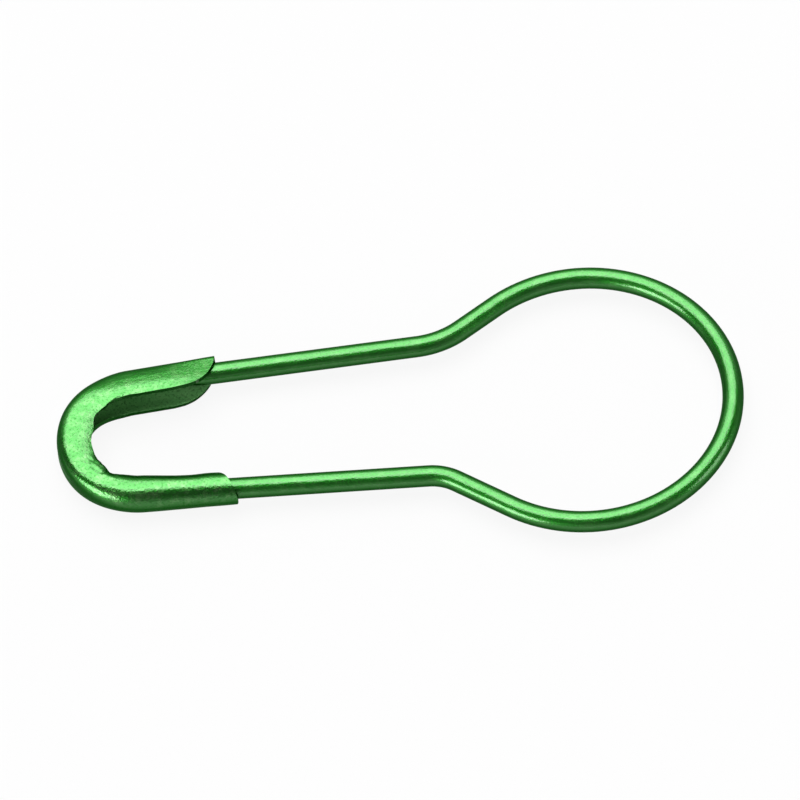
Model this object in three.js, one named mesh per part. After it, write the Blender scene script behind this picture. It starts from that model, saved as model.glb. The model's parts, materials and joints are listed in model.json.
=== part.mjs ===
import * as THREE from 'three';

// A bulb safety pin, in millimetres. One steel wire makes a round loop with two arms. A folded sheet cap is
// crimped on the end of one arm, bends through a U and stays open as a channel that catches the pointed end
// of the other. The pin lies flat: +Y runs from the cap to the loop, and +X towards the crimped arm.
// Heights and depths are measured from the mouth of the crimped leg.

// Wire
const wireDiameter = 0.68;
const loopWidth = 10;
const loopCentreHeight = 11.19;
const fixedMouthHalfWidth = 2.32;
const fixedNeckHalfWidth = 2.45;
const fixedNeckReach = 0.62;
const fixedNeckBendRadius = 1.6;
const fixedEndDepth = 2.9;
const pinMouthHalfWidth = 2.17;
const pinNeckHalfWidth = 2.58;
const pinNeckReach = 0.475;
const pinNeckBendRadius = 2.8;
const pinTipDepth = 2.65;
const pointLength = 2.2;
const pointDiameter = 0.08;

// Cap: a sheet folded lengthwise, tight round the wire at one end and open at the other
const sheetThickness = 0.15;
const bendCentreDepth = 3;
const claspMouthDepth = 0.42;
const claspLean = THREE.MathUtils.degToRad(5.8);
const claspSlack = 0.11;
const crimpWallLength = 0.03;
const crimpTaper = 0.07;
const seamGap = 0.06;
const lipWallLength = 0.04;
const lipCurlRadius = 0.34;
const lipCurlAngle = THREE.MathUtils.degToRad(52);
const throatWallLength = 0.46;
const claspWallLength = 0.62;
const crimpEndDrop = 1;
const crimpEndFullness = 1.5;
const claspEndDrop = 1.5;
const claspEndFullness = 2.3;
const rippleDepth = 0.03;
const rippleCount = 2;

// How far round the cap's bend its sections lie
const crimpRelease = THREE.MathUtils.degToRad(13);
const lipPlace = THREE.MathUtils.degToRad(40);
const throatStart = THREE.MathUtils.degToRad(75);
const throatEnd = THREE.MathUtils.degToRad(110);
const claspStart = THREE.MathUtils.degToRad(165);

// Clearance between the wire and what holds it
const seatGap = 0.02;
const claspSeatGap = 0.05;

// Facets
const wireSides = 20;
const arcStep = THREE.MathUtils.degToRad(6);
const pointRings = 6;
const sheetColumns = 28;
const sheetRows = 64;

const wireRadius = wireDiameter / 2;
const loopRadius = (loopWidth - wireDiameter) / 2;
const loopCentre = new THREE.Vector2(0, loopCentreHeight);
const openFoldRadius = wireRadius + claspSlack + sheetThickness / 2;
const crimpFoldRadius = wireRadius + seatGap + sheetThickness / 2;
const capHalfHeight = openFoldRadius + sheetThickness / 2;
const fixedNeck = neckAt(fixedNeckHalfWidth, fixedNeckReach);
const fixedMouth = new THREE.Vector2(fixedMouthHalfWidth, 0);
const crimpLean = Math.PI / 2 - fixedNeck.clone().sub(fixedMouth).angle();
const pinNeck = neckAt(-pinNeckHalfWidth, pinNeckReach);
const pinMouth = new THREE.Vector2(-pinMouthHalfWidth, 0);

// The corner of a neck, which stays outside the loop's middle line by its reach
function neckAt(x, reach) {
  return new THREE.Vector2(x, loopCentreHeight - Math.sqrt((loopRadius + reach) ** 2 - x * x));
}

// Points on the two straight legs, at a depth below the mouth
const fixedAt = (depth) => fixedMouth.clone().lerp(fixedNeck, -depth / fixedNeck.y);
const pinAt = (depth) => pinMouth.clone().lerp(pinNeck, -depth / pinNeck.y);

// Joins closed rings of points into one closed body. Each end is zipped shut across its ring, first point to
// last, which also closes the cut end of a folded sheet.
function loft(rings) {
  const sides = rings[0].length;
  const faces = [];
  for (let ring = 0; ring < rings.length - 1; ring++) {
    for (let side = 0; side < sides; side++) {
      const near = ring * sides + side;
      const next = ring * sides + ((side + 1) % sides);
      faces.push(near, next, next + sides, near, next + sides, near + sides);
    }
  }
  const last = (rings.length - 1) * sides;
  for (let side = 0; side < sides / 2 - 1; side++) {
    const across = sides - 1 - side;
    faces.push(side, across, across - 1, side, across - 1, side + 1);
    faces.push(last + side, last + across - 1, last + across);
    faces.push(last + side, last + side + 1, last + across - 1);
  }
  const positions = rings.flat().flatMap((point) => point.toArray());
  const geometry = new THREE.BufferGeometry();
  geometry.setAttribute('position', new THREE.Float32BufferAttribute(positions, 3));
  geometry.setIndex(faces);
  geometry.computeVertexNormals();
  return geometry;
}

// A place on a planar curve, with the direction to its left
function frameAt(curve, share) {
  const along = curve.getTangent(share);
  return { point: curve.getPoint(share), left: new THREE.Vector2(-along.y, along.x) };
}

// The point at a distance to the left of a frame and above its plane
function offsetFrom(frame, left, up) {
  return new THREE.Vector3(frame.point.x + frame.left.x * left, frame.point.y + frame.left.y * left, up);
}

// Frames along a run of curves: a straight has one step, an arc as many as its angle needs
function framesAlong(curves) {
  const frames = [frameAt(curves[0], 0)];
  for (const curve of curves) {
    const steps = curve.isEllipseCurve ? Math.ceil(curve.getLength() / curve.xRadius / arcStep) : 1;
    for (let step = 1; step <= steps; step++) frames.push(frameAt(curve, step / steps));
  }
  return frames;
}

function wireRing(frame, radius) {
  return Array.from({ length: wireSides }, (_, side) => {
    const angle = (2 * Math.PI * side) / wireSides;
    return offsetFrom(frame, radius * Math.cos(angle), radius * Math.sin(angle));
  });
}

// The bend that a wire makes at a corner between two points
function bendAt(start, corner, end, radius) {
  const back = start.clone().sub(corner).normalize();
  const onward = end.clone().sub(corner).normalize();
  const halfway = back.clone().add(onward).normalize();
  const halfAngle = back.angleTo(onward) / 2;
  const reach = radius / Math.tan(halfAngle);
  const bendStart = corner.clone().addScaledVector(back, reach);
  const bendEnd = corner.clone().addScaledVector(onward, reach);
  const centre = corner.clone().addScaledVector(halfway, radius / Math.sin(halfAngle));
  const startAngle = bendStart.clone().sub(centre).angle();
  const endAngle = bendEnd.clone().sub(centre).angle();
  const clockwise = back.cross(onward) > 0;
  return new THREE.EllipseCurve(centre.x, centre.y, radius, radius, startAngle, endAngle, clockwise);
}

// The straights and bends that a wire makes through a row of points, with a bend radius for each inner one
function bentRun(points, radii) {
  const bends = radii.map((radius, index) => bendAt(...points.slice(index, index + 3), radius));
  const run = [];
  let from = points[0];
  for (const bend of bends) {
    run.push(new THREE.LineCurve(from, bend.getPoint(0)), bend);
    from = bend.getPoint(1);
  }
  return [...run, new THREE.LineCurve(from, points[points.length - 1])];
}

// The angle at which a straight from a neck corner touches the loop, on the side of that arm
function touchAngle(corner, side) {
  const toCorner = corner.clone().sub(loopCentre);
  return toCorner.angle() + side * Math.acos(loopRadius / toCorner.length());
}

function onLoop(angle) {
  return new THREE.Vector2(Math.cos(angle), Math.sin(angle)).multiplyScalar(loopRadius).add(loopCentre);
}

const fixedTouch = touchAngle(fixedNeck, 1) - 2 * Math.PI;
const pinTouch = touchAngle(pinNeck, -1);

function fixedArm() {
  const run = bentRun([fixedAt(fixedEndDepth), fixedNeck, onLoop(fixedTouch)], [fixedNeckBendRadius]);
  return loft(framesAlong(run).map((frame) => wireRing(frame, wireRadius)));
}

// Two arcs that meet at the very top of the loop
function bulbSpring() {
  const top = Math.PI / 2;
  const gapAngle = seatGap / loopRadius;
  const { x, y } = loopCentre;
  const arc = (from, to) => new THREE.EllipseCurve(x, y, loopRadius, loopRadius, from, to);
  const run = [arc(fixedTouch + gapAngle, top), arc(top, pinTouch - gapAngle)];
  return loft(framesAlong(run).map((frame) => wireRing(frame, wireRadius)));
}

// The ground point swells smoothly to the full wire
function pinArm() {
  const run = bentRun([pinAt(pinTipDepth), pinNeck, onLoop(pinTouch)], [pinNeckBendRadius]);
  const leg = run[0];
  const rings = [];
  for (let ring = 0; ring < pointRings; ring++) {
    const share = ring / pointRings;
    const radius = THREE.MathUtils.lerp(pointDiameter / 2, wireRadius, Math.sin((share * Math.PI) / 2));
    rings.push(wireRing(frameAt(leg, (share * pointLength) / leg.getLength()), radius));
  }
  const shoulder = leg.getPoint(pointLength / leg.getLength());
  const frames = framesAlong([new THREE.LineCurve(shoulder, leg.v2), run[1], run[2]]);
  return loft([...rings, ...frames.map((frame) => wireRing(frame, wireRadius))]);
}

// The line that the cap is folded round: along the crimped wire, round the bend and up the clasp. The pin
// rests on the inside of the clasp's fold where its point begins.
function capSpine() {
  const seatDepth = pinTipDepth - pointLength;
  const seatX = pinAt(seatDepth).x + claspSlack - claspSeatGap;
  const claspX = (depth) => seatX + (depth - seatDepth) * Math.tan(claspLean);
  const fixedX = fixedAt(bendCentreDepth).x;
  const fixedShare = Math.cos(crimpLean) / (Math.cos(crimpLean) + Math.cos(claspLean));
  const centreX = THREE.MathUtils.lerp(claspX(bendCentreDepth), fixedX, fixedShare);
  const radius = (fixedX - centreX) * Math.cos(crimpLean);
  const bend = new THREE.EllipseCurve(
    centreX, -bendCentreDepth, radius, radius, -crimpLean, claspLean - Math.PI, true,
  );
  const claspMouth = new THREE.Vector2(claspX(claspMouthDepth), -claspMouthDepth);
  const spine = new THREE.CurvePath();
  spine.add(new THREE.LineCurve(fixedMouth, bend.getPoint(0)));
  spine.add(bend);
  spine.add(new THREE.LineCurve(bend.getPoint(1), claspMouth));
  return spine;
}

// Sections across the folded sheet, on its middle: half a round fold, a flat wall and a curled edge each side
const crimpSection = {
  foldRadius: crimpFoldRadius,
  wallLength: crimpWallLength,
  curlRadius: crimpFoldRadius - seamGap / 2,
  curlAngle: Math.PI / 2,
};
const lipSection = {
  foldRadius: openFoldRadius,
  wallLength: lipWallLength,
  curlRadius: lipCurlRadius,
  curlAngle: lipCurlAngle,
};
const throatSection = { ...lipSection, wallLength: throatWallLength, curlAngle: 0 };
const claspSection = { ...throatSection, wallLength: claspWallLength };

function mixSections(from, to, share) {
  const keys = Object.keys(from);
  return Object.fromEntries(keys.map((key) => [key, THREE.MathUtils.lerp(from[key], to[key], share)]));
}

// The crimp widens from its mouth to the bend
function crimpAt(share) {
  const swell = crimpTaper * Math.min(share, 1);
  return {
    ...crimpSection,
    foldRadius: crimpSection.foldRadius + swell,
    curlRadius: crimpSection.curlRadius + swell,
  };
}

// The section at a distance along the spine. The crimp stays shut a little way into the bend. Its lips then
// part, flatten into the throat and widen into the clasp. The edge ripples where the parting gathers it.
function sectionAt(distance, crimpLength, bendRadius) {
  const round = (distance - crimpLength) / bendRadius;
  const lips = THREE.MathUtils.smoothstep(round, crimpRelease, lipPlace);
  const throat = THREE.MathUtils.smoothstep(round, lipPlace, throatStart);
  const clasp = THREE.MathUtils.smoothstep(round, throatEnd, claspStart);
  const parting = mixSections(crimpAt(distance / crimpLength), lipSection, lips);
  const section = mixSections(mixSections(parting, throatSection, throat), claspSection, clasp);
  const gather = THREE.MathUtils.clamp((round - crimpRelease) / (throatStart - crimpRelease), 0, 1);
  const ripple = Math.sin(Math.PI * gather) ** 2 * Math.sin(2 * Math.PI * rippleCount * gather);
  section.wallLength += rippleDepth * ripple;
  return section;
}

// A point on one face of the folded sheet, at a share of the way from the fold to either free edge
function sheetPoint(frame, section, share, offset) {
  const fold = (section.foldRadius * Math.PI) / 2;
  const halfWidth = fold + section.wallLength + section.curlRadius * section.curlAngle;
  const side = Math.sign(share);
  const round = Math.abs(share) * halfWidth;
  const wall = THREE.MathUtils.clamp(round - fold, 0, section.wallLength);
  const curl = Math.max(round - fold - section.wallLength, 0) / section.curlRadius;
  const foldAngle = Math.min(round, fold) / section.foldRadius;
  const angle = foldAngle + curl;
  const left = section.foldRadius * Math.cos(foldAngle) - wall - section.curlRadius * Math.sin(curl);
  const up = section.foldRadius * Math.sin(foldAngle) - section.curlRadius * (1 - Math.cos(curl));
  return offsetFrom(frame, left + offset * Math.cos(angle), side * (up + offset * Math.sin(angle)));
}

// How far the rounded end of the blank has fallen back, from 0 at the fold to 1 at the free edge. A fullness
// of 2 is a round end, and a higher one is squarer.
const endFall = (share, fullness) => 1 - (1 - Math.abs(share) ** fullness) ** (1 / fullness);

function claspCap() {
  const spine = capSpine();
  const [crimpLength, bendLength, claspLength] = spine.curves.map((curve) => curve.getLength());
  const length = crimpLength + bendLength + claspLength;
  const rings = [];
  for (let row = 0; row <= sheetRows; row++) {
    const faces = [1, -1].map((face) => {
      const points = [];
      for (let column = 0; column <= sheetColumns; column++) {
        const share = (2 * column) / sheetColumns - 1;
        const start = crimpEndDrop * endFall(share, crimpEndFullness);
        const end = length - claspEndDrop * endFall(share, claspEndFullness);
        const distance = THREE.MathUtils.lerp(start, end, row / sheetRows);
        const frame = frameAt(spine, distance / length);
        const section = sectionAt(distance, crimpLength, spine.curves[1].xRadius);
        points.push(sheetPoint(frame, section, share, (face * sheetThickness) / 2));
      }
      return points;
    });
    rings.push([...faces[0], ...faces[1].reverse()]);
  }
  return loft(rings);
}

function mesh(name, geometry, material) {
  const part = new THREE.Mesh(geometry, material);
  part.name = name;
  return part;
}

const lacquered = (color, roughness) => new THREE.MeshStandardMaterial({ color, metalness: 0.9, roughness });
const lacqueredWire = () => lacquered(0x3fa046, 0.32);
const lacqueredSheet = () => lacquered(0x3c9843, 0.42);

const pin = new THREE.Group();
pin.add(
  mesh('clasp_cap', claspCap(), lacqueredSheet()),
  mesh('fixed_arm', fixedArm(), lacqueredWire()),
  mesh('bulb_spring', bulbSpring(), lacqueredWire()),
  mesh('pin_arm', pinArm(), lacqueredWire()),
);

// The origin is under the middle of the outline, on the surface that the cap lies on
const outline = new THREE.Box3().setFromObject(pin);
pin.position.set(0, -(outline.min.y + outline.max.y) / 2, capHalfHeight);

export default pin;
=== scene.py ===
"""A bulb safety pin: one lacquered steel wire, sprung by its round loop, and the folded sheet cap that
catches its point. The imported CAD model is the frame. Run as a script, this file adds the pieces, the stage
and the camera to it."""

import json
import math

import bmesh
import bpy
from mathutils import Matrix, Vector, noise


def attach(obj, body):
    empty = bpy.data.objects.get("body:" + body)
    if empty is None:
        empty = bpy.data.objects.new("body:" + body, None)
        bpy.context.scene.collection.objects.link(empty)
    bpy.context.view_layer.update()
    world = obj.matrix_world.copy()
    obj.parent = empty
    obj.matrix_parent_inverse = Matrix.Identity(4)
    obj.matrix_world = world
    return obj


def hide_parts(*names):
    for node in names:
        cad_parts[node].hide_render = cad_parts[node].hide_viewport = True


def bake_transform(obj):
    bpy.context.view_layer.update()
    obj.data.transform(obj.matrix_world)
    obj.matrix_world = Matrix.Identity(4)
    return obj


bl_info = {
    "name": "Bulb Safety Pin",
    "version": (1, 0, 0),
    "blender": (4, 5, 0),
    "location": "View3D > Sidebar > Safety Pin",
    "description": "Adds the wire, the clasp cap and the studio of a bulb safety pin to its packed frame",
    "category": "Add Mesh",
}

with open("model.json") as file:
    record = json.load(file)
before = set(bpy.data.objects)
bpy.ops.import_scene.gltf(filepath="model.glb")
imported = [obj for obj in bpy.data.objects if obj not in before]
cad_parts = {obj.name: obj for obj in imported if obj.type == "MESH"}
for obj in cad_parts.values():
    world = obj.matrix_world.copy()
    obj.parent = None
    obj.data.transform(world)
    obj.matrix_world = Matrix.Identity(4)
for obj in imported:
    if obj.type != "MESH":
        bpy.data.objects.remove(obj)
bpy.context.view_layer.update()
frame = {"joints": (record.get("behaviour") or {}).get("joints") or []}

MM = 0.001
UP = Vector((0, 0, 1))
LOOP_CENTRE = Vector(frame["joints"][0]["pos_m"])

# The wire. Heights and depths are measured from the mouth of the crimped leg, as in the CAD source.
LOOP_CENTRE_HEIGHT = 11.19 * MM
FIXED_MOUTH_HALF_WIDTH = 2.32 * MM
FIXED_NECK_HALF_WIDTH = 2.45 * MM
FIXED_NECK_REACH = 0.62 * MM
FIXED_NECK_BEND = 1.6 * MM
FIXED_END_DEPTH = 2.9 * MM
PIN_MOUTH_HALF_WIDTH = 2.17 * MM
PIN_NECK_HALF_WIDTH = 2.58 * MM
PIN_NECK_REACH = 0.475 * MM
PIN_NECK_BEND = 2.8 * MM
PIN_TIP_DEPTH = 2.65 * MM
POINT_DIAMETER = 0.08 * MM
WIRE_SIDES = 40
BEND_STEP = math.radians(2.5)
POINT_RINGS = 16

# The cap
BEND_CENTRE_DEPTH = 3 * MM
CLASP_MOUTH_DEPTH = 0.42 * MM
CLASP_LEAN = math.radians(5.8)
CLASP_SLACK = 0.11 * MM
CLASP_SEAT_GAP = 0.05 * MM
SEAT_GAP = 0.02 * MM
CRIMP_WALL = 0.03 * MM
CRIMP_TAPER = 0.07 * MM
SEAM_GAP = 0.06 * MM
LIP_WALL = 0.04 * MM
LIP_CURL_RADIUS = 0.34 * MM
LIP_CURL_ANGLE = math.radians(52)
THROAT_WALL = 0.46 * MM
CRIMP_END_DROP = 1 * MM
CRIMP_END_FULLNESS = 1.5
CLASP_END_DROP = 1.5 * MM
CLASP_END_FULLNESS = 2.3
SHEET_COLUMNS = 84
SHEET_ROWS = 260
RIM_ROUNDING = 0.04 * MM
RIM_SEGMENTS = 3
RIM_ANGLE = math.radians(55)

# How far round the cap's bend its sections lie
CRIMP_RELEASE = math.radians(13)
LIP_PLACE = math.radians(40)
THROAT_START = math.radians(75)
THROAT_END = math.radians(110)
CLASP_START = math.radians(165)

# The hand of the press. It folded the blank a little off its middle, so the upper wall of the throat is
# wider than the lower one and the clasp's end is skewed. It left the crimp looser at its two ends and
# tucked its lips in, squared the fold in the bend and rolled the free edge in there, pressed the fold
# narrow in the clasp and flat at its mouth, rippled and crumpled the edge where the bend gathers it, and
# left shallow dents all over.
THROAT_SKEW = 0.15 * MM
CLASP_END_SKEW = 0.3
CRIMP_LOOSENESS = 0.05 * MM
LIP_TUCK = 0.035 * MM
FOLD_SQUARENESS = 0.09 * MM
EDGE_ROLL = 0.1 * MM
FOLD_PRESS = 0.08 * MM
MOUTH_PRESS = 0.087 * MM
MOUTH_OPENING = math.radians(10.5)
MOUTH_START = 2.2 * MM
MOUTH_END = 0.5 * MM
RIPPLE_DEPTH = 0.03 * MM
RIPPLE_COUNT = 2
CRUMPLE_DEPTH = 0.035 * MM
CRUMPLE_LENGTH = 0.16 * MM
DENT_DEPTH = 0.006 * MM
DENT_LENGTH = 0.7 * MM

# Where the upper free edge stands out or falls back: how far round the bend, over what spread and how much
UPPER_EDGE = (
    (math.radians(43), math.radians(9), 0.13 * MM),
    (math.radians(119), math.radians(15), -0.17 * MM),
    (math.radians(146), math.radians(7.5), -0.11 * MM),
)

# Where the crimp tightens below its mouth, loosens and tightens again, in shares of its length
MOUTH_TIGHTENS = (0.25, 0.5)
HEEL_LOOSENS = (0.6, 1)
HEEL_TIGHTENS = (1.1, 1.4)

# How far across the sheet a form lies, from 0 on the fold to 1 at the free edge
TUCK_SPAN = (0.45, 0.75)
ROLL_START = 0.55
PRESS_SINKS = (0.1, 0.45)
PRESS_RISES = (0.45, 0.82)
CRUMPLE_SPAN = (0.35, 0.75)

# The look of every lacquered surface. Levels are those of its noise patterns, from 0 to 1.
PIT_RIM_LEVEL = 0.47
PIT_FLOOR_LEVEL = 0.33
THIN_FILM_LEVELS = (0.48, 0.68)
FLAKE_EDGE = 0.05
FLAKE_COVER = 0.7
SCRATCH_STRETCH = (0.35, 1, 1)
GRAIN_LEVELS = (0.3, 0.7)
GRAIN_ROUGHER = 0.06
GRAIN_SMOOTHER = 0.04
LACQUER_IOR = 1.6

# Shares of the lacquer's own colour: where it lies deep in pits, which also gives the painted shade at the
# rims, where it is thin, and on the cut edge
PIT_AND_PAINTED_RIM_SHADE = 0.45
THIN_LACQUER = 0.8
EDGE_LACQUER = 0.55

# Painted shade at the rims: how far the surface turns from the view before its colour starts to darken and
# until it is darkest, and the share of its gloss that is left there
RIM_SHADE_FACING = (0.05, 0.45)
RIM_SHADE_GLOSS = 1 / 9

# Sockets of the Mix node when it mixes colours
MIX_SHARE = 0
MIX_FIRST = 6
MIX_SECOND = 7
MIX_COLOUR = 2

# The studio
FLOOR_REACH = 4
HAZE_SIZE = 40 * MM
HAZE_DIM = 0.97
SOFTBOX_PLACE = Vector((-0.9, -0.22, 1.5))
SOFTBOX_CLOTH = (2.35, 2.4)
SOFTBOX_MIDDLE = (1.5, 1.6)
SOFTBOX_MIDDLE_SHARE = 0.45
STRIP_DISTANCE = 1.5
LEFT_STRIP_DIRECTION = Vector((0.582, -0.776, 0.242))
LEFT_STRIP_SIZE = (1.25, 0.72)
RIGHT_STRIP_DIRECTION = Vector((0.191, 0.947, 0.259))
RIGHT_STRIP_SIZE = (0.85, 0.8)
WALL_HEIGHTS = (0.12, 0.5)
LOW_WALL_GLOW = 0.5
HIGH_WALL_GLOW = 0.1
BACK_WALL_EDGES = (-0.75, -0.45)
BACK_WALL_GLOW = 1.4

# The camera
CAMERA_AIM = Vector((-0.00054, 0.00003, 0.0006))
CAMERA_DISTANCE = 0.3855
CAMERA_AZIMUTH = math.radians(91.26)
CAMERA_ELEVATION = math.radians(55.73)
CAMERA_ROLL = math.radians(-5.66)
CAMERA_LENS = 547
CAMERA_CLIP_START = 0.01


def linear(code):
    """The linear colour of an sRGB hex code"""
    shares = [int(code[place:place + 2], 16) / 255 for place in (1, 3, 5)]
    return tuple(s / 12.92 if s <= 0.04045 else ((s + 0.055) / 1.055) ** 2.4 for s in shares)


def smooth(value, low, high):
    """0 below low, 1 above high, and an even swing between them"""
    share = min(max((value - low) / (high - low), 0), 1)
    return share * share * (3 - 2 * share)


# Settings

class PinWireSettings(bpy.types.PropertyGroup):
    """Sizes and colour of the wire"""

    diameter: bpy.props.FloatProperty(
        name="Diameter", description="Thickness of the steel wire", default=0.68 * MM, min=0.1 * MM,
        unit="LENGTH", precision=6)
    loop_width: bpy.props.FloatProperty(
        name="Loop Width", description="Outside width of the round loop", default=10 * MM, min=2 * MM,
        unit="LENGTH", precision=6)
    point_length: bpy.props.FloatProperty(
        name="Point Length", description="Length of the ground point", default=2.2 * MM, min=0.1 * MM,
        unit="LENGTH", precision=6)
    lacquer: bpy.props.FloatVectorProperty(
        name="Lacquer", description="Colour of the lacquered wire", default=linear("#1d731a"), size=3,
        min=0, max=1, subtype="COLOR")


class ClaspCapSettings(bpy.types.PropertyGroup):
    """Sizes and colours of the folded cap"""

    thickness: bpy.props.FloatProperty(
        name="Sheet Thickness", description="Thickness of the sheet steel", default=0.15 * MM,
        min=0.02 * MM, unit="LENGTH", precision=6)
    clasp_wall: bpy.props.FloatProperty(
        name="Clasp Wall", description="Flat width of the open clasp's walls", default=0.62 * MM,
        min=0.1 * MM, unit="LENGTH", precision=6)
    lacquer: bpy.props.FloatVectorProperty(
        name="Lacquer", description="Colour of the outside", default=linear("#1f761b"), size=3,
        min=0, max=1, subtype="COLOR")
    # painted light: this green is paler than the inside's own colour, to make up for the dim light in the
    # fold
    inside: bpy.props.FloatVectorProperty(
        name="Inside", description="Colour of the thinly coated inside", default=linear("#6fb06b"), size=3,
        min=0, max=1, subtype="COLOR")
    cut_edge: bpy.props.FloatVectorProperty(
        name="Cut Edge", description="Colour of the bare steel at the cut edge", default=linear("#b9c4b4"),
        size=3, min=0, max=1, subtype="COLOR")


class StudioSettings(bpy.types.PropertyGroup):
    """Floor and lights of the studio"""

    floor: bpy.props.FloatVectorProperty(
        name="Floor", description="Colour of the opal glass under the pin", default=linear("#313131"),
        size=3, min=0, max=1, subtype="COLOR")
    floor_glow: bpy.props.FloatProperty(
        name="Floor Glow", description="Brightness of the light table under the opal glass", default=0.905,
        min=0)
    softbox: bpy.props.FloatProperty(
        name="Softbox", description="Brightness of the middle of the overhead softbox", default=8.7, min=0)
    left_strip: bpy.props.FloatProperty(
        name="Left Strip", description="Brightness of the low light on the left", default=8.0, min=0)
    right_strip: bpy.props.FloatProperty(
        name="Right Strip", description="Brightness of the low light on the right", default=3.5, min=0)


# Materials

# The steel's own grain is finer than a pixel of the render, which is about 0.03 mm, so each grain is drawn
# two pixels wide or a little more
FINE_GRAIN = 0.065 * MM
COARSE_GRAIN = 0.08 * MM
SHEET_WAVE = {"size": 0.35 * MM, "depth": 0.009 * MM, "stretch": (1, 1, 1)}
SCRATCHES = {"size": 0.12 * MM, "level": 0.8, "colour": linear("#a9c3a0")}

# What the steel's own grey adds where the film is thin, and the tint of its mirror near the rims
STEEL_SHEEN = linear("#55694b")
LACQUER_TINT = linear("#45ad45")


def add_node(tree, kind, inputs=None, **settings):
    """Adds a node with its settings. Each input is set to a value or linked to another node's output."""
    made = tree.nodes.new(kind)
    for name, value in settings.items():
        setattr(made, name, value)
    for key, value in (inputs or {}).items():
        if isinstance(value, bpy.types.NodeSocket):
            tree.links.new(value, made.inputs[key])
        else:
            made.inputs[key].default_value = value
    return made


def per_metre(size):
    """The scale of a pattern whose grains have this size"""
    return 1 / size


def empty_material(name):
    """A material without nodes, and its tree"""
    material = bpy.data.materials.new(name)
    material.use_nodes = True
    material.node_tree.nodes.clear()
    return material, material.node_tree


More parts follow.
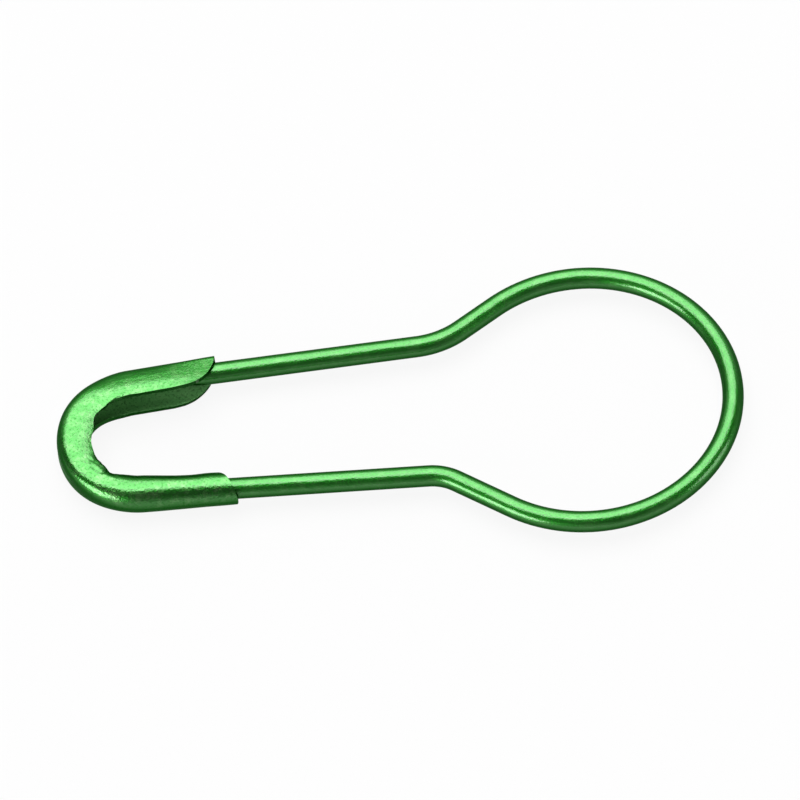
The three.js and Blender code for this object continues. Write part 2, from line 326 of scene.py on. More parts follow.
def lacquered_surface(name, colour, place, wave, grain, roughness, speckle, film, bare, metal=1, gloss=1):
    """Transparent coloured lacquer over bright steel. The steel under it mirrors the room in the lacquer's
    colour and the lacquer's own face adds a faint white reflection. Towards the rims, as the surface turns
    from the view, the colour darkens and the gloss fades: painted shade in place of a shadowed floor's
    reflection."""
    material, tree = empty_material(name)
    spot = add_node(tree, "ShaderNodeAttribute", attribute_name=place)
    stretched = add_node(tree, "ShaderNodeMapping", {
        "Vector": spot.outputs["Vector"], "Scale": wave["stretch"]})
    waves = add_node(tree, "ShaderNodeTexNoise", {
        "Vector": stretched.outputs["Vector"], "Scale": per_metre(wave["size"]),
        "Detail": 2.0, "Roughness": 0.5})
    grains = add_node(tree, "ShaderNodeTexNoise", {
        "Vector": spot.outputs["Vector"], "Scale": per_metre(grain["size"]),
        "Detail": 2.0, "Roughness": 0.6})
    # darker specks where the lacquer has pooled in a pit of the steel
    pits = add_node(tree, "ShaderNodeMapRange", {
        "Value": grains.outputs["Fac"], "From Min": PIT_RIM_LEVEL, "From Max": PIT_FLOOR_LEVEL,
        "To Min": 0.0, "To Max": speckle})
    # the lacquer's deep colour, in the pits and in the painted shade at the rims
    pit_and_rim_shade = (*(share * PIT_AND_PAINTED_RIM_SHADE for share in colour), 1)
    # broad patches where the film is thin, so that more of the steel's own grey comes through
    drift = add_node(tree, "ShaderNodeTexNoise", {
        "Vector": spot.outputs["Vector"], "Scale": per_metre(film["size"]),
        "Detail": 3.0, "Roughness": 0.6})
    thin = add_node(tree, "ShaderNodeMapRange", {
        "Value": drift.outputs["Fac"], "From Min": THIN_FILM_LEVELS[0], "From Max": THIN_FILM_LEVELS[1],
        "To Min": 0.0, "To Max": film["thin"]})
    faded = [share * THIN_LACQUER + steel for share, steel in zip(colour, STEEL_SHEEN)]
    filmed = add_node(tree, "ShaderNodeMix", {
        MIX_SHARE: thin.outputs["Result"], MIX_FIRST: (*colour, 1), MIX_SECOND: (*faded, 1)},
        data_type="RGBA")
    pooled = add_node(tree, "ShaderNodeMix", {
        MIX_SHARE: pits.outputs["Result"], MIX_FIRST: filmed.outputs[MIX_COLOUR], MIX_SECOND: pit_and_rim_shade},
        data_type="RGBA")
    # pale spots where the film is scratched through or never closed
    scratch = add_node(tree, "ShaderNodeMapping", {
        "Vector": spot.outputs["Vector"], "Scale": SCRATCH_STRETCH})
    flakes = add_node(tree, "ShaderNodeTexNoise", {
        "Vector": scratch.outputs["Vector"], "Scale": per_metre(bare["size"]),
        "Detail": 2.0, "Roughness": 0.6})
    open_film = add_node(tree, "ShaderNodeMapRange", {
        "Value": flakes.outputs["Fac"], "From Min": bare["level"], "From Max": bare["level"] + FLAKE_EDGE,
        "To Min": 0.0, "To Max": FLAKE_COVER})
    painted = add_node(tree, "ShaderNodeMix", {
        MIX_SHARE: open_film.outputs["Result"], MIX_FIRST: pooled.outputs[MIX_COLOUR],
        MIX_SECOND: (*bare["colour"], 1)}, data_type="RGBA")
    # painted shade: the colour darkens towards the rims as the surface turns from the view, in place of the
    # reflection of a shadowed floor
    slant = add_node(tree, "ShaderNodeLayerWeight", {"Blend": 0.5})
    depth = add_node(tree, "ShaderNodeMapRange", {
        "Value": slant.outputs["Facing"], "From Min": RIM_SHADE_FACING[0], "From Max": RIM_SHADE_FACING[1],
        "To Min": 0.0, "To Max": 1.0})
    rim_shaded = add_node(tree, "ShaderNodeMix", {
        MIX_SHARE: depth.outputs["Result"], MIX_FIRST: painted.outputs[MIX_COLOUR], MIX_SECOND: pit_and_rim_shade},
        data_type="RGBA")
    # the gloss fades with the painted shade towards the rims
    face = add_node(tree, "ShaderNodeMapRange", {
        "Value": depth.outputs["Result"], "From Min": 0.0, "From Max": 1.0,
        "To Min": gloss, "To Max": gloss * RIM_SHADE_GLOSS})
    # a pit doesn't mirror the lights
    level = add_node(tree, "ShaderNodeMath", {0: 1.0, 1: pits.outputs["Result"]}, operation="SUBTRACT")
    even_face = add_node(tree, "ShaderNodeMath", {
        0: face.outputs["Result"], 1: level.outputs["Value"]}, operation="MULTIPLY")
    uneven = add_node(tree, "ShaderNodeMapRange", {
        "Value": grains.outputs["Fac"], "From Min": GRAIN_LEVELS[0], "From Max": GRAIN_LEVELS[1],
        "To Min": roughness["steel"] + GRAIN_ROUGHER, "To Max": roughness["steel"] - GRAIN_SMOOTHER})
    swell = add_node(tree, "ShaderNodeBump", {
        "Height": waves.outputs["Fac"], "Distance": wave["depth"], "Strength": 1.0})
    pitted = add_node(tree, "ShaderNodeBump", {
        "Height": grains.outputs["Fac"], "Distance": grain["depth"], "Strength": 1.0,
        "Normal": swell.outputs["Normal"]})
    # the lacquer half fills the pits, so its face is more even than the steel
    levelled = add_node(tree, "ShaderNodeBump", {
        "Height": grains.outputs["Fac"], "Distance": grain["depth"] / 2, "Strength": 1.0,
        "Normal": swell.outputs["Normal"]})
    shader = add_node(tree, "ShaderNodeBsdfPrincipled", {
        "Base Color": rim_shaded.outputs[MIX_COLOUR], "Metallic": metal,
        "Roughness": uneven.outputs["Result"],
        "Specular Tint": (*LACQUER_TINT, 1), "Coat Weight": even_face.outputs["Value"],
        "Coat Roughness": roughness["lacquer"], "Coat IOR": LACQUER_IOR,
        "Normal": pitted.outputs["Normal"], "Coat Normal": levelled.outputs["Normal"]})
    add_node(tree, "ShaderNodeOutputMaterial", {"Surface": shader.outputs["BSDF"]})
    return material


def lacquered_wire(settings):
    """Lacquered drawn steel wire. Drawing leaves long shallow waves along it, so the edges of its
    highlights run unevenly, and the fine grain of the lacquer breaks them up into glints."""
    return lacquered_surface(
        "lacquered_drawn_wire", tuple(settings.lacquer), "wire_place",
        wave={"size": 0.3 * MM, "depth": 0.012 * MM, "stretch": (0.4, 1, 1)},
        grain={"size": FINE_GRAIN, "depth": 0.009 * MM}, roughness={"steel": 0.38, "lacquer": 0.12},
        speckle=0.25, film={"size": 0.4 * MM, "thin": 0.25}, bare=SCRATCHES)


def lacquered_sheet(settings):
    """Lacquered sheet steel, stamped and folded. The pressed sheet is grainier than the wire, so its
    highlights are broad and speckled."""
    return lacquered_surface(
        "lacquered_pressed_sheet", tuple(settings.lacquer), "sheet_place", wave=SHEET_WAVE,
        grain={"size": COARSE_GRAIN, "depth": 0.013 * MM}, roughness={"steel": 0.3, "lacquer": 0.16},
        speckle=0.55, film={"size": 0.3 * MM, "thin": 0.8}, bare=SCRATCHES)


def thin_coat_with_painted_fill(settings):
    """The inside of the fold, where the spray reached thinly and dried rough. Its green is painted paler
    than the inside's own dull colour: painted light that makes up for the little light reaching into the
    fold.
    """
    return lacquered_surface(
        "thin_coat_with_painted_fill", tuple(settings.inside), "sheet_place", wave=SHEET_WAVE,
        grain={"size": COARSE_GRAIN, "depth": 0.012 * MM}, roughness={"steel": 0.55, "lacquer": 0.4},
        speckle=0.9, film={"size": 0.3 * MM, "thin": 0.7}, bare=SCRATCHES, metal=0.3, gloss=0.4)


def sheared_edge(settings):
    """The cut edge of the blank: mostly dark lacquer, which has drawn back from the corners and left a few
    bright spots of the sheared steel"""
    return lacquered_surface(
        "sheared_steel_edge", tuple(share * EDGE_LACQUER for share in settings.lacquer), "sheet_place",
        wave=SHEET_WAVE, grain={"size": FINE_GRAIN, "depth": 0.01 * MM},
        roughness={"steel": 0.45, "lacquer": 0.3}, speckle=0.6, film={"size": 0.3 * MM, "thin": 0.3},
        bare={"size": 0.2 * MM, "level": 0.62, "colour": tuple(settings.cut_edge)}, gloss=0.3)


def opal_glass(settings):
    """The opal glass of a light table. It glows from below, which lifts the shadows on it nearly to
    white."""
    material, tree = empty_material("opal_glass")
    spot = add_node(tree, "ShaderNodeTexCoord")
    haze = add_node(tree, "ShaderNodeTexNoise", {
        "Vector": spot.outputs["Object"], "Scale": per_metre(HAZE_SIZE), "Detail": 2.0, "Roughness": 0.5})
    dimmer = tuple(share * HAZE_DIM for share in settings.floor)
    colour = add_node(tree, "ShaderNodeMix", {
        MIX_SHARE: haze.outputs["Fac"], MIX_FIRST: (*settings.floor, 1), MIX_SECOND: (*dimmer, 1)},
        data_type="RGBA")
    shader = add_node(tree, "ShaderNodeBsdfPrincipled", {
        "Base Color": colour.outputs[MIX_COLOUR], "Roughness": 0.9, "Specular IOR Level": 0.2,
        "Emission Color": (1, 1, 1, 1), "Emission Strength": settings.floor_glow})
    add_node(tree, "ShaderNodeOutputMaterial", {"Surface": shader.outputs["BSDF"]})
    return material


# The wire

def in_plane(point):
    """A point of the pin's plane, given by its side and its height, in the row frame"""
    return Vector((point.x, LOOP_CENTRE.y + point.y - LOOP_CENTRE_HEIGHT, LOOP_CENTRE.z))


def turned_left(direction):
    return Vector((-direction.y, direction.x))


def bent_run(points, radii):
    """The straights and turns that a wire makes through a row of points, with a bend radius at each inner
    one. Each move is (length of the straight, radius of the turn, angle of the turn to the left)."""
    moves = []
    used = 0.0
    for index, radius in enumerate(radii):
        leg = points[index + 1] - points[index]
        onward = points[index + 2] - points[index + 1]
        angle = math.atan2(leg.cross(onward), leg.dot(onward))
        reach = radius * math.tan(abs(angle) / 2)
        moves.append((leg.length - used - reach, radius, angle))
        used = reach
    moves.append(((points[-1] - points[-2]).length - used, 0.0, 0.0))
    return moves


class WireDrawing:
    """A ring of the wire that is drawn out along straights and bends. Every point keeps its place on the
    wire as if it were straight, for patterns that follow the wire."""

    def __init__(self, start, direction, radius):
        self.mesh = bmesh.new()
        self.straightened = self.mesh.verts.layers.float_vector.new("wire_place")
        self.place = in_plane(start)
        self.direction = direction.normalized()
        left = turned_left(self.direction).to_3d()
        turn = Matrix((left, UP, self.direction.to_3d())).transposed().to_4x4()
        turn.translation = self.place
        bmesh.ops.create_circle(self.mesh, segments=WIRE_SIDES, radius=radius, matrix=turn)
        self.ring = list(self.mesh.verts)
        for vert in self.ring:
            offset = vert.co - self.place
            vert[self.straightened] = (0, offset.dot(left), offset.z)

    def ring_edges(self):
        found = set(self.ring)
        return [edge for edge in self.mesh.edges if edge.verts[0] in found and edge.verts[1] in found]

    def take(self, made, length):
        """Makes the newest ring the current one, this much further along"""
        self.ring = [item for item in made if isinstance(item, bmesh.types.BMVert)]
        for vert in self.ring:
            along, left, high = vert[self.straightened]
            vert[self.straightened] = (along + length, left, high)

    def straight(self, length):
        made = bmesh.ops.extrude_edge_only(self.mesh, edges=self.ring_edges())["geom"]
        self.take(made, length)
        step = self.direction.to_3d() * length
        bmesh.ops.translate(self.mesh, verts=self.ring, vec=step)
        self.place += step

    def bend(self, radius, angle):
        side = math.copysign(1, angle)
        centre = self.place + turned_left(self.direction).to_3d() * radius * side
        steps = math.ceil(abs(angle) / BEND_STEP)
        for _ in range(steps):
            made = bmesh.ops.spin(
                self.mesh, geom=self.ring + self.ring_edges(), cent=centre, axis=UP, angle=angle / steps,
                steps=1, use_merge=False, use_duplicate=False)["geom_last"]
            self.take(made, radius * abs(angle) / steps)
        turn = Matrix.Rotation(angle, 2)
        self.place = centre + Matrix.Rotation(angle, 3, UP) @ (self.place - centre)
        self.direction = turn @ self.direction

    def follow(self, moves):
        for length, radius, angle in moves:
            if length > 0:
                self.straight(length)
            if radius:
                self.bend(radius, angle)

    def grind(self, length, from_radius, to_radius):
        """Draws the wire out to a point that narrows more and more towards its tip"""
        reached = from_radius
        for ring in range(1, POINT_RINGS + 1):
            self.straight(length / POINT_RINGS)
            share = 1 - ring / POINT_RINGS
            radius = to_radius + (from_radius - to_radius) * math.sin(share * math.pi / 2)
            factor = radius / reached
            bmesh.ops.scale(self.mesh, verts=self.ring, vec=(factor, factor, factor),
                            space=Matrix.Translation(-self.place))
            reached = radius

    def close(self):
        """Closes both ends with sharp corners and returns the mesh"""
        open_edges = [edge for edge in self.mesh.edges if edge.is_boundary]
        for edge in open_edges:
            edge.smooth = False
        bmesh.ops.holes_fill(self.mesh, edges=open_edges, sides=WIRE_SIDES)
        bmesh.ops.recalc_face_normals(self.mesh, faces=self.mesh.faces)
        return self.mesh


def touch_angle(corner, centre, radius, side):
    """The angle at which a straight from a corner touches the loop, on one side of it"""
    away = corner - centre
    return math.atan2(away.y, away.x) + side * math.acos(radius / away.length)


def neck_at(x, reach, loop_radius):
    """The corner of a neck, which stays outside the loop's middle line by its reach"""
    return Vector((x, LOOP_CENTRE_HEIGHT - math.sqrt((loop_radius + reach) ** 2 - x * x)))


def on_leg(mouth_x, neck, depth):
    """The point of a straight leg at a depth below the mouth"""
    return Vector((mouth_x, 0)).lerp(neck, -depth / neck.y)


def wire_bmesh(settings):
    """The whole wire, from its blunt end in the crimp round the loop to its point"""
    radius = settings.diameter / 2
    loop_radius = (settings.loop_width - settings.diameter) / 2
    centre = Vector((0, LOOP_CENTRE_HEIGHT))
    fixed_neck = neck_at(FIXED_NECK_HALF_WIDTH, FIXED_NECK_REACH, loop_radius)
    pin_neck = neck_at(-PIN_NECK_HALF_WIDTH, PIN_NECK_REACH, loop_radius)
    fixed_end = on_leg(FIXED_MOUTH_HALF_WIDTH, fixed_neck, FIXED_END_DEPTH)
    tip = on_leg(-PIN_MOUTH_HALF_WIDTH, pin_neck, PIN_TIP_DEPTH)
    fixed_touch = touch_angle(fixed_neck, centre, loop_radius, 1)
    pin_touch = touch_angle(pin_neck, centre, loop_radius, -1)
    round_loop = (pin_touch - fixed_touch) % (2 * math.pi)
    on_loop = [centre + loop_radius * Vector((math.cos(a), math.sin(a))) for a in (fixed_touch, pin_touch)]

    wire = WireDrawing(fixed_end, fixed_neck - fixed_end, radius)
    wire.follow(bent_run([fixed_end, fixed_neck, on_loop[0]], [FIXED_NECK_BEND]))
    wire.bend(loop_radius, round_loop)
    pin_leg = bent_run([on_loop[1], pin_neck, tip], [PIN_NECK_BEND])
    last = pin_leg.pop()
    wire.follow([*pin_leg, (last[0] - settings.point_length, 0.0, 0.0)])
    wire.grind(settings.point_length, radius, POINT_DIAMETER / 2)
    return wire.close()


def add_piece(name, mesh, materials):
    """A smooth-shaded object made from a bmesh"""
    data = bpy.data.meshes.new(name)
    mesh.to_mesh(data)
    mesh.free()
    for material in materials:
        data.materials.append(material)
    data.shade_smooth()
    piece = bpy.data.objects.new(name, data)
    bpy.context.scene.collection.objects.link(piece)
    return piece


class PIN_OT_add_wire(bpy.types.Operator):
    """Adds the wire: crimped arm, round loop and pointed arm in one length"""

    bl_idname = "pin.add_wire"
    bl_label = "Add Wire"
    bl_options = {"REGISTER", "UNDO"}

    def execute(self, context):
        settings = context.scene.pin_wire
        piece = add_piece("sprung_wire", wire_bmesh(settings), [lacquered_wire(settings)])
        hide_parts("fixed_arm", "bulb_spring", "pin_arm")
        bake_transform(piece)
        return {"FINISHED"}


# The cap

class CapLine:
    """The line that the cap is folded round: down the crimped leg, round the bend and up the clasp"""

    def __init__(self, wire):
        loop_radius = (wire.loop_width - wire.diameter) / 2
        fixed_neck = neck_at(FIXED_NECK_HALF_WIDTH, FIXED_NECK_REACH, loop_radius)
        pin_neck = neck_at(-PIN_NECK_HALF_WIDTH, PIN_NECK_REACH, loop_radius)
        self.mouth = Vector((FIXED_MOUTH_HALF_WIDTH, 0))
        self.lean = math.atan2(fixed_neck.x - self.mouth.x, fixed_neck.y)
        seat_depth = PIN_TIP_DEPTH - wire.point_length
        seat_x = on_leg(-PIN_MOUTH_HALF_WIDTH, pin_neck, seat_depth).x + CLASP_SLACK - CLASP_SEAT_GAP
        fixed_x = on_leg(FIXED_MOUTH_HALF_WIDTH, fixed_neck, BEND_CENTRE_DEPTH).x
        clasp_x = seat_x + (BEND_CENTRE_DEPTH - seat_depth) * math.tan(CLASP_LEAN)
        fixed_share = math.cos(self.lean) / (math.cos(self.lean) + math.cos(CLASP_LEAN))
        self.centre = Vector((clasp_x + (fixed_x - clasp_x) * fixed_share, -BEND_CENTRE_DEPTH))
        self.radius = (fixed_x - self.centre.x) * math.cos(self.lean)
        self.turn = math.pi - self.lean - CLASP_LEAN
        bend_start, bend_end = self.on_bend(0)[0], self.on_bend(self.turn)[0]
        self.crimp_length = (bend_start - self.mouth).length
        self.bend_length = self.radius * self.turn
        rise = (-CLASP_MOUTH_DEPTH - bend_end.y) / math.cos(CLASP_LEAN)
        self.length = self.crimp_length + self.bend_length + rise

    def on_bend(self, angle):
        outward = Vector((math.cos(-self.lean - angle), math.sin(-self.lean - angle)))
        return self.centre + self.radius * outward, outward

    def round_bend(self, distance):
        """The angle round the bend at a distance from the mouth, below 0 on the crimped leg"""
        return (distance - self.crimp_length) / self.radius

    def at(self, distance):
        """The point at a distance from the mouth, and the direction of the fold's outside there"""
        past_crimp = distance - self.crimp_length
        if past_crimp < 0:
            point, outward = self.on_bend(0)
            down = Vector((-math.sin(self.lean), -math.cos(self.lean)))
            return point + down * past_crimp, outward
        if past_crimp < self.bend_length:
            return self.on_bend(past_crimp / self.radius)
        point, outward = self.on_bend(self.turn)
        onward = Vector((-math.sin(CLASP_LEAN), math.cos(CLASP_LEAN)))
        return point + onward * (past_crimp - self.bend_length), outward


def mixed(first, second, share):
    return [a + (b - a) * share for a, b in zip(first, second)]


class FoldedSheet:
    """The cap's blank, and where each point of it lies once it is folded"""

    def __init__(self, cap, wire):
        half = cap.thickness / 2
        self.open_fold = wire.diameter / 2 + CLASP_SLACK + half
        self.line = CapLine(wire)
        self.crimp_fold = wire.diameter / 2 + SEAT_GAP + half
        # sections across the sheet: fold radius, flat wall, radius and angle of the curled edge
        self.lips = (self.open_fold, LIP_WALL, LIP_CURL_RADIUS, LIP_CURL_ANGLE)
        self.throat = (self.open_fold, THROAT_WALL, LIP_CURL_RADIUS, 0.0)
        self.clasp = (self.open_fold, cap.clasp_wall, LIP_CURL_RADIUS, 0.0)

    def section(self, distance):
        """The section at a distance along the cap. The crimp stays shut a little way into the bend. Its
        lips then part, flatten into the throat and widen into the clasp."""
        swell = CRIMP_TAPER * min(distance / self.line.crimp_length, 1)
        crimp = (self.crimp_fold + swell, CRIMP_WALL, self.crimp_fold + swell - SEAM_GAP / 2, math.pi / 2)
        angle = self.line.round_bend(distance)
        parting = mixed(crimp, self.lips, smooth(angle, CRIMP_RELEASE, LIP_PLACE))
        flat = mixed(parting, self.throat, smooth(angle, LIP_PLACE, THROAT_START))
        return mixed(flat, self.clasp, smooth(angle, THROAT_END, CLASP_START))

    def gather(self, distance):
        """How far the parting of the lips has got, from 0 to 1"""
        angle = self.line.round_bend(distance)
        return min(max((angle - CRIMP_RELEASE) / (THROAT_START - CRIMP_RELEASE), 0), 1)

    def uneven_wall(self, distance, side):
        """What the press added to the wall's width: looseness at the crimp's ends, ripples by the lips, the
        skew of the throat, and the waver of the upper wall's edge"""
        along = distance / self.line.crimp_length
        loose = 1 - smooth(along, *MOUTH_TIGHTENS)
        loose += smooth(along, *HEEL_LOOSENS) - smooth(along, *HEEL_TIGHTENS)
        gather = self.gather(distance)
        ripple = math.sin(math.pi * gather) ** 2 * math.sin(2 * math.pi * RIPPLE_COUNT * gather)
        angle = self.line.round_bend(distance)
        skew = smooth(angle, THROAT_START, THROAT_END) - smooth(angle, THROAT_END, CLASP_START)
        waver = sum(
            height * math.exp(-((angle - place) / spread) ** 2) for place, spread, height in UPPER_EDGE)
        return (CRIMP_LOOSENESS * loose + RIPPLE_DEPTH * ripple + THROAT_SKEW * side * skew
                + (waver if side > 0 else 0))

    def mouth_dip(self, fold_angle, wall):
        """How far a flat facet, which opens evenly to the wall's edge, lies under the round fold"""
        opening = math.tan(MOUTH_OPENING)
        if wall:
            return MOUTH_PRESS - wall * opening
        height = self.open_fold - MOUTH_PRESS
        return max(self.open_fold - height / (math.sin(fold_angle) + opening * math.cos(fold_angle)), 0)

    def unevenness(self, across, distance, share, fold_angle, wall):
        """How far the surface stands out: tucked in at the crimp's lips, squared in the bend's fold, rolled
        in along the bend's free edge, pressed in beside the clasp's fold, dented all over and crumpled at
        the gathered edge. The clasp's mouth is pressed flat and opens evenly."""
        angle = self.line.round_bend(distance)
        past_crimp = smooth(angle, 0, LIP_PLACE)
        in_clasp = smooth(angle, THROAT_END, CLASP_START)
        tucked = smooth(share, *TUCK_SPAN) * (1 - past_crimp)
        square = math.sin(2 * fold_angle) ** 2 * (smooth(angle, CRIMP_RELEASE, THROAT_START) - in_clasp)
        rolled = max((share - ROLL_START) / (1 - ROLL_START), 0) ** 2
        rolled *= smooth(angle, CRIMP_RELEASE, LIP_PLACE) - in_clasp
        at_mouth = smooth(distance, self.line.length - MOUTH_START, self.line.length - MOUTH_END)
        pressed = FOLD_PRESS * (smooth(share, *PRESS_SINKS) - smooth(share, *PRESS_RISES))
        clasp_dip = (pressed + (self.mouth_dip(fold_angle, wall) - pressed) * at_mouth) * in_clasp
        dent = noise.noise(Vector((distance, across, 0)) / DENT_LENGTH)
        gathered = math.sin(math.pi * self.gather(distance)) ** 2 * smooth(share, *CRUMPLE_SPAN)
        crumple = noise.noise(Vector((distance, across, 0)) / CRUMPLE_LENGTH) * gathered
        return (FOLD_SQUARENESS * square - LIP_TUCK * tucked - EDGE_ROLL * rolled - clasp_dip
                + DENT_DEPTH * dent + CRUMPLE_DEPTH * crumple)

    def fold(self, share, distance):
        """The folded place of a point, and its place on the flat blank"""
        fold_radius, wall_length, curl_radius, curl_angle = self.section(distance)
        side = math.copysign(1, share) if share else 0
        wall_length = max(wall_length + self.uneven_wall(distance, side), 0)
        fold_length = fold_radius * math.pi / 2
        half_width = fold_length + wall_length + curl_radius * curl_angle
        across = abs(share) * half_width
        wall = min(max(across - fold_length, 0), wall_length)
        curl = max(across - fold_length - wall_length, 0) / curl_radius
        fold_angle = min(across, fold_length) / fold_radius
        angle = fold_angle + curl
        swell = self.unevenness(side * across, distance, abs(share), fold_angle, wall)
        outward = fold_radius * math.cos(fold_angle) - wall - curl_radius * math.sin(curl)
        outward += swell * math.cos(angle)
        high = fold_radius * math.sin(fold_angle) - curl_radius * (1 - math.cos(curl))
        high += swell * math.sin(angle)
        point, away = self.line.at(distance)
        return in_plane(point + away * outward) + UP * high * (side or 1), (distance, side * across, 0)


def end_fall(share, fullness):
    """How far a rounded end has fallen back, from 0 at the fold to 1 at the free edge"""
    return 1 - max(1 - abs(share) ** fullness, 0) ** (1 / fullness)


def cap_bmesh(cap, wire):
    """The middle surface of the sheet: a flat grid, folded point by point"""
    sheet = FoldedSheet(cap, wire)
    mesh = bmesh.new()
    bmesh.ops.create_grid(mesh, x_segments=SHEET_COLUMNS, y_segments=SHEET_ROWS, size=1)
    flat = mesh.verts.layers.float_vector.new("sheet_place")
    for vert in mesh.verts:
        share, row = vert.co.x, (vert.co.y + 1) / 2
        skewed = CLASP_END_FULLNESS + CLASP_END_SKEW * share
        start = CRIMP_END_DROP * end_fall(share, CRIMP_END_FULLNESS)
        end = sheet.line.length - CLASP_END_DROP * end_fall(share, skewed)
        vert.co, vert[flat] = sheet.fold(share, start + (end - start) * row)
    mesh.normal_update()
    outermost = max(mesh.faces, key=lambda face: face.calc_center_median().x)
    if outermost.normal.x < 0:
        bmesh.ops.reverse_faces(mesh, faces=mesh.faces)
    return mesh


class PIN_OT_add_cap(bpy.types.Operator):
    """Adds the cap: a sheet crimped on one arm, bent through a U and left open as the clasp"""

    bl_idname = "pin.add_cap"
    bl_label = "Add Clasp Cap"
    bl_options = {"REGISTER", "UNDO"}

    def execute(self, context):
        cap = context.scene.pin_cap
        materials = [lacquered_sheet(cap), thin_coat_with_painted_fill(cap), sheared_edge(cap)]
        piece = add_piece("folded_cap", cap_bmesh(cap, context.scene.pin_wire), materials)
        wall = piece.modifiers.new("sheet_thickness", "SOLIDIFY")
        wall.thickness = cap.thickness
        wall.offset = 0
        wall.use_quality_normals = True
        wall.material_offset = 1
        wall.material_offset_rim = 2
        rim = piece.modifiers.new("rounded_rim", "BEVEL")
        rim.width = RIM_ROUNDING
        rim.segments = RIM_SEGMENTS
        rim.limit_method = "ANGLE"
        rim.angle_limit = RIM_ANGLE
        rim.harden_normals = True
        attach(piece, "crimped_frame")
        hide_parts("clasp_cap")
        return {"FINISHED"}


# The studio

def add_oval_light(name, place, size, radiance, aim=None):
    """An oval light of an even brightness, that shines down or at a point. Its mirror images taper."""
    light = bpy.data.lights.new(name, "AREA")
    light.shape = "ELLIPSE"
    light.size, light.size_y = size
    area = math.pi * size[0] * size[1] / 4
    light.energy = radiance * math.pi * area
    lamp = bpy.data.objects.new(name, light)
    lamp.location = place
    if aim is not None:
        lamp.rotation_euler = (aim - place).to_track_quat("-Z", "Y").to_euler()
    bpy.context.scene.collection.objects.link(lamp)
    return lamp


def studio_world():
    """A dark room with paler walls near the table and a pale wall behind it, so that polished sides show
    dark bands"""
    world = bpy.data.worlds.new("studio_walls")
    world.use_nodes = True
    tree = world.node_tree
    tree.nodes.clear()
    spot = add_node(tree, "ShaderNodeTexCoord")
    towards = add_node(tree, "ShaderNodeSeparateXYZ", {"Vector": spot.outputs["Generated"]})
    low = add_node(tree, "ShaderNodeMapRange", {
        "Value": towards.outputs["Z"], "From Min": WALL_HEIGHTS[0], "From Max": WALL_HEIGHTS[1],
        "To Min": LOW_WALL_GLOW, "To Max": HIGH_WALL_GLOW})
    behind = add_node(tree, "ShaderNodeMapRange", {
        "Value": towards.outputs["X"], "From Min": BACK_WALL_EDGES[0], "From Max": BACK_WALL_EDGES[1],
        "To Min": BACK_WALL_GLOW, "To Max": 0.0})
    walls = add_node(tree, "ShaderNodeMath", {
        0: low.outputs["Result"], 1: behind.outputs["Result"]}, operation="MAXIMUM")
    sky = add_node(tree, "ShaderNodeBackground", {
        "Color": (1, 1, 1, 1), "Strength": walls.outputs["Value"]})
    add_node(tree, "ShaderNodeOutputWorld", {"Surface": sky.outputs["Background"]})
    return world


def add_camera():
    """The photograph's direction of view, aimed at the middle of the pin"""
    back = Vector((
        math.sin(CAMERA_AZIMUTH) * math.cos(CAMERA_ELEVATION),
        -math.cos(CAMERA_AZIMUTH) * math.cos(CAMERA_ELEVATION),
        math.sin(CAMERA_ELEVATION)))
    camera = bpy.data.objects.new("camera", bpy.data.cameras.new("camera"))
    camera.data.lens = CAMERA_LENS
    camera.data.clip_start = CAMERA_CLIP_START
    camera.location = CAMERA_AIM + back * CAMERA_DISTANCE
    level = (-back).to_track_quat("-Z", "Y").to_matrix()
    camera.rotation_euler = (level @ Matrix.Rotation(CAMERA_ROLL, 3, "Z")).to_euler()
    bpy.context.scene.collection.objects.link(camera)
    bpy.context.scene.camera = camera


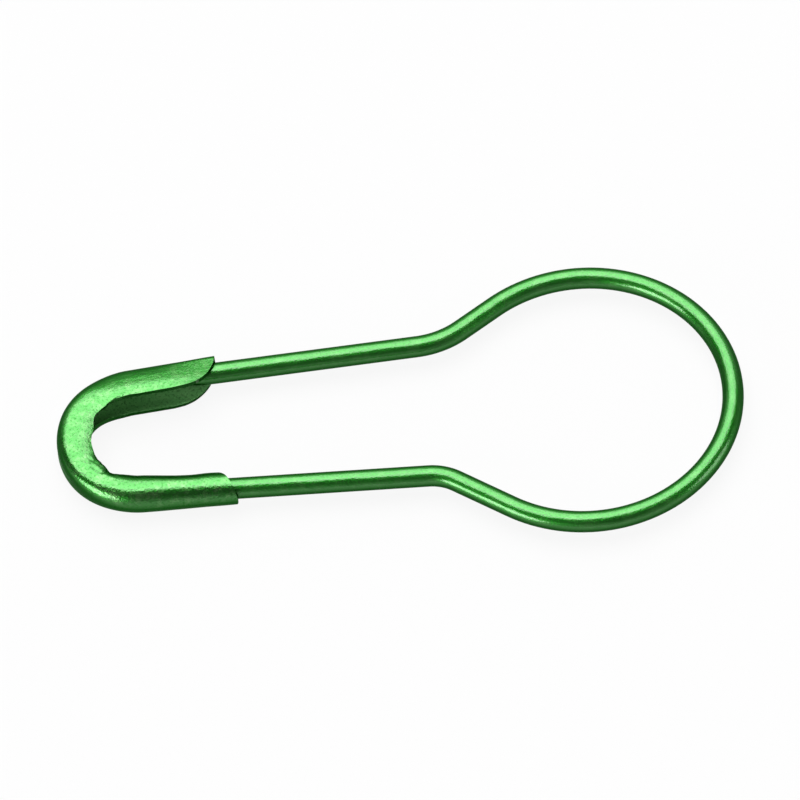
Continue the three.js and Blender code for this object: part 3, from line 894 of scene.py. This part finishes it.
class PIN_OT_add_studio(bpy.types.Operator):
    """Adds the opal floor, the lights and the camera"""

    bl_idname = "pin.add_studio"
    bl_label = "Add Studio"
    bl_options = {"REGISTER", "UNDO"}

    def execute(self, context):
        studio = context.scene.pin_studio
        mesh = bmesh.new()
        bmesh.ops.create_grid(mesh, x_segments=1, y_segments=1, size=FLOOR_REACH)
        add_piece("floor", mesh, [opal_glass(studio)])
        # the cloth of the softbox is brighter in its middle than at its margin
        cloth = studio.softbox * (1 - SOFTBOX_MIDDLE_SHARE)
        add_oval_light("softbox_cloth", SOFTBOX_PLACE, SOFTBOX_CLOTH, cloth)
        middle = studio.softbox * SOFTBOX_MIDDLE_SHARE
        add_oval_light("softbox_middle", SOFTBOX_PLACE, SOFTBOX_MIDDLE, middle)
        left = LEFT_STRIP_DIRECTION * STRIP_DISTANCE
        add_oval_light("left_strip", left, LEFT_STRIP_SIZE, studio.left_strip, Vector())
        right = RIGHT_STRIP_DIRECTION * STRIP_DISTANCE
        add_oval_light("right_strip", right, RIGHT_STRIP_SIZE, studio.right_strip, Vector())
        context.scene.world = studio_world()
        context.scene.view_settings.view_transform = "Standard"
        add_camera()
        return {"FINISHED"}


# The add-on

class PIN_PT_sidebar(bpy.types.Panel):
    """Lists the settings and the steps of the pin"""

    bl_idname = "PIN_PT_sidebar"
    bl_label = "Safety Pin"
    bl_space_type = "VIEW_3D"
    bl_region_type = "UI"
    bl_category = "Safety Pin"

    def draw(self, context):
        for settings, operator in (
            (context.scene.pin_wire, PIN_OT_add_wire),
            (context.scene.pin_cap, PIN_OT_add_cap),
            (context.scene.pin_studio, PIN_OT_add_studio),
        ):
            box = self.layout.box()
            for name in settings.__annotations__:
                box.prop(settings, name)
            box.operator(operator.bl_idname)


CLASSES = (
    PinWireSettings, ClaspCapSettings, StudioSettings,
    PIN_OT_add_wire, PIN_OT_add_cap, PIN_OT_add_studio, PIN_PT_sidebar,
)


def register():
    for cls in CLASSES:
        bpy.utils.register_class(cls)
    bpy.types.Scene.pin_wire = bpy.props.PointerProperty(type=PinWireSettings)
    bpy.types.Scene.pin_cap = bpy.props.PointerProperty(type=ClaspCapSettings)
    bpy.types.Scene.pin_studio = bpy.props.PointerProperty(type=StudioSettings)


def unregister():
    del bpy.types.Scene.pin_studio
    del bpy.types.Scene.pin_cap
    del bpy.types.Scene.pin_wire
    for cls in reversed(CLASSES):
        bpy.utils.unregister_class(cls)


def main():
    register()
    bpy.ops.pin.add_wire()
    bpy.ops.pin.add_cap()
    bpy.ops.pin.add_studio()


if __name__ == "__main__":
    main()
